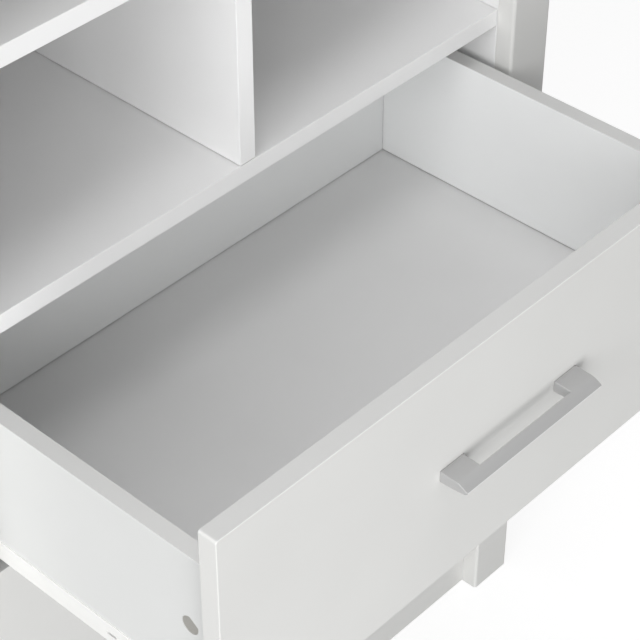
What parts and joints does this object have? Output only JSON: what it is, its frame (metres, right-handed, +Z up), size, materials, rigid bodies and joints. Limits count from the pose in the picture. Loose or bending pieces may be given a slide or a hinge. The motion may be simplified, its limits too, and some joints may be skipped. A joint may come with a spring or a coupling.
{
  "type": "drawer unit",
  "caption": "White upright storage unit on corner posts, with full-width drawers on roller runners below divided open compartments.",
  "frame": {"origin": "middle of the front plinth's underside, on the floor", "axes": "+X to the unit's right seen from the front, +Y to its back, +Z up"},
  "size_m": [0.7, 0.6731, 1.1],
  "materials": {
    "white_board": "white melamine foil on particle board",
    "white_front": "white foil on MDF, satin",
    "white_drawer": "white foil on particle board",
    "white_sheet": "white lacquered hardboard",
    "white_runner": "white powder coat",
    "handle_metal": "satin",
    "zinc": "bright zinc",
    "roller_nylon": "natural nylon",
    "pad_plastic": "moulded"
  },
  "bodies": {
    "cabinet": {"side_panel_left": "white_board", "side_panel_right": "white_board", "front_post_left": "white_front", "front_post_right": "white_front", "rear_post_left": "white_front", "rear_post_right": "white_front", "post_pads": "pad_plastic", "top_board": "white_front", "upper_shelf": "white_board", "drawer_shelf": "white_board", "bottom_board": "white_board", "upper_divider": "white_board", "lower_divider": "white_board", "front_plinth": "white_front", "rear_rail": "white_board", "back_panel": "white_sheet", "wall_brackets": "zinc", "cabinet_runners_1": "white_runner", "cabinet_runners_2": "white_runner", "cabinet_runners_3": "white_runner"},
    "drawer_1": {"drawer_1_front": "white_front", "drawer_1_side_left": "white_drawer", "drawer_1_side_right": "white_drawer", "drawer_1_back": "white_drawer", "drawer_1_floor": "white_sheet", "drawer_1_handle": "handle_metal", "drawer_1_handle_screws": "zinc", "drawer_1_cam_fittings": "zinc", "drawer_1_runner_left": "white_runner", "drawer_1_runner_right": "white_runner"},
    "rear_rollers_1": {"drawer_1_rear_rollers": "roller_nylon"},
    "front_rollers_1": {"front_rollers_1": "roller_nylon"},
    "drawer_2": {"drawer_2_front": "white_front", "drawer_2_side_left": "white_drawer", "drawer_2_side_right": "white_drawer", "drawer_2_back": "white_drawer", "drawer_2_floor": "white_sheet", "drawer_2_handle": "handle_metal", "drawer_2_handle_screws": "zinc", "drawer_2_cam_fittings": "zinc", "drawer_2_runner_left": "white_runner", "drawer_2_runner_right": "white_runner"},
    "rear_rollers_2": {"drawer_2_rear_rollers": "roller_nylon"},
    "front_rollers_2": {"front_rollers_2": "roller_nylon"},
    "drawer_3": {"drawer_3_front": "white_front", "drawer_3_side_left": "white_drawer", "drawer_3_side_right": "white_drawer", "drawer_3_back": "white_drawer", "drawer_3_floor": "white_sheet", "drawer_3_handle": "handle_metal", "drawer_3_handle_screws": "zinc", "drawer_3_cam_fittings": "zinc", "drawer_3_runner_left": "white_runner", "drawer_3_runner_right": "white_runner"},
    "rear_rollers_3": {"drawer_3_rear_rollers": "roller_nylon"},
    "front_rollers_3": {"front_rollers_3": "roller_nylon"}
  },
  "joints": [
    {"name": "drawer_1_slide", "type": "slide", "parent": "cabinet", "child": "drawer_1", "axis": [0, -1, 0], "range_m": [-0.2411, 0.0169]},
    {"name": "rear_rollers_1_spin", "type": "hinge", "parent": "drawer_1", "child": "rear_rollers_1", "pos_m": [0, 0.0939, 0.5018], "axis": [1, 0, 0], "range_deg": [-1846.9, 134.1]},
    {"name": "front_rollers_1_spin", "type": "hinge", "parent": "cabinet", "child": "front_rollers_1", "pos_m": [0, 0.01, 0.4835], "axis": [1, 0, 0], "range_deg": [-1731.8, 126]},
    {"name": "drawer_2_slide", "type": "slide", "parent": "cabinet", "child": "drawer_2", "axis": [0, -1, 0], "range_m": [0, 0.258]},
    {"name": "rear_rollers_2_spin", "type": "hinge", "parent": "drawer_2", "child": "rear_rollers_2", "pos_m": [0, 0.335, 0.2938], "axis": [1, 0, 0], "range_deg": [-5, 1976]},
    {"name": "front_rollers_2_spin", "type": "hinge", "parent": "cabinet", "child": "front_rollers_2", "pos_m": [0, 0.01, 0.2755], "axis": [1, 0, 0], "range_deg": [-5, 1852.8]},
    {"name": "drawer_3_slide", "type": "slide", "parent": "cabinet", "child": "drawer_3", "axis": [0, -1, 0], "range_m": [0, 0.258]},
    {"name": "rear_rollers_3_spin", "type": "hinge", "parent": "drawer_3", "child": "rear_rollers_3", "pos_m": [0, 0.335, 0.0858], "axis": [1, 0, 0], "range_deg": [-5, 1976]},
    {"name": "front_rollers_3_spin", "type": "hinge", "parent": "cabinet", "child": "front_rollers_3", "pos_m": [0, 0.01, 0.0675], "axis": [1, 0, 0], "range_deg": [-5, 1852.8]}
  ],
  "couplings": [
    {"joint": "rear_rollers_1_spin", "follows": "drawer_1_slide", "rad_per_m": 133.33},
    {"joint": "front_rollers_1_spin", "follows": "drawer_1_slide", "rad_per_m": 125},
    {"joint": "rear_rollers_2_spin", "follows": "drawer_2_slide", "rad_per_m": 133.33},
    {"joint": "front_rollers_2_spin", "follows": "drawer_2_slide", "rad_per_m": 125},
    {"joint": "rear_rollers_3_spin", "follows": "drawer_3_slide", "rad_per_m": 133.33},
    {"joint": "front_rollers_3_spin", "follows": "drawer_3_slide", "rad_per_m": 125}
  ]
}
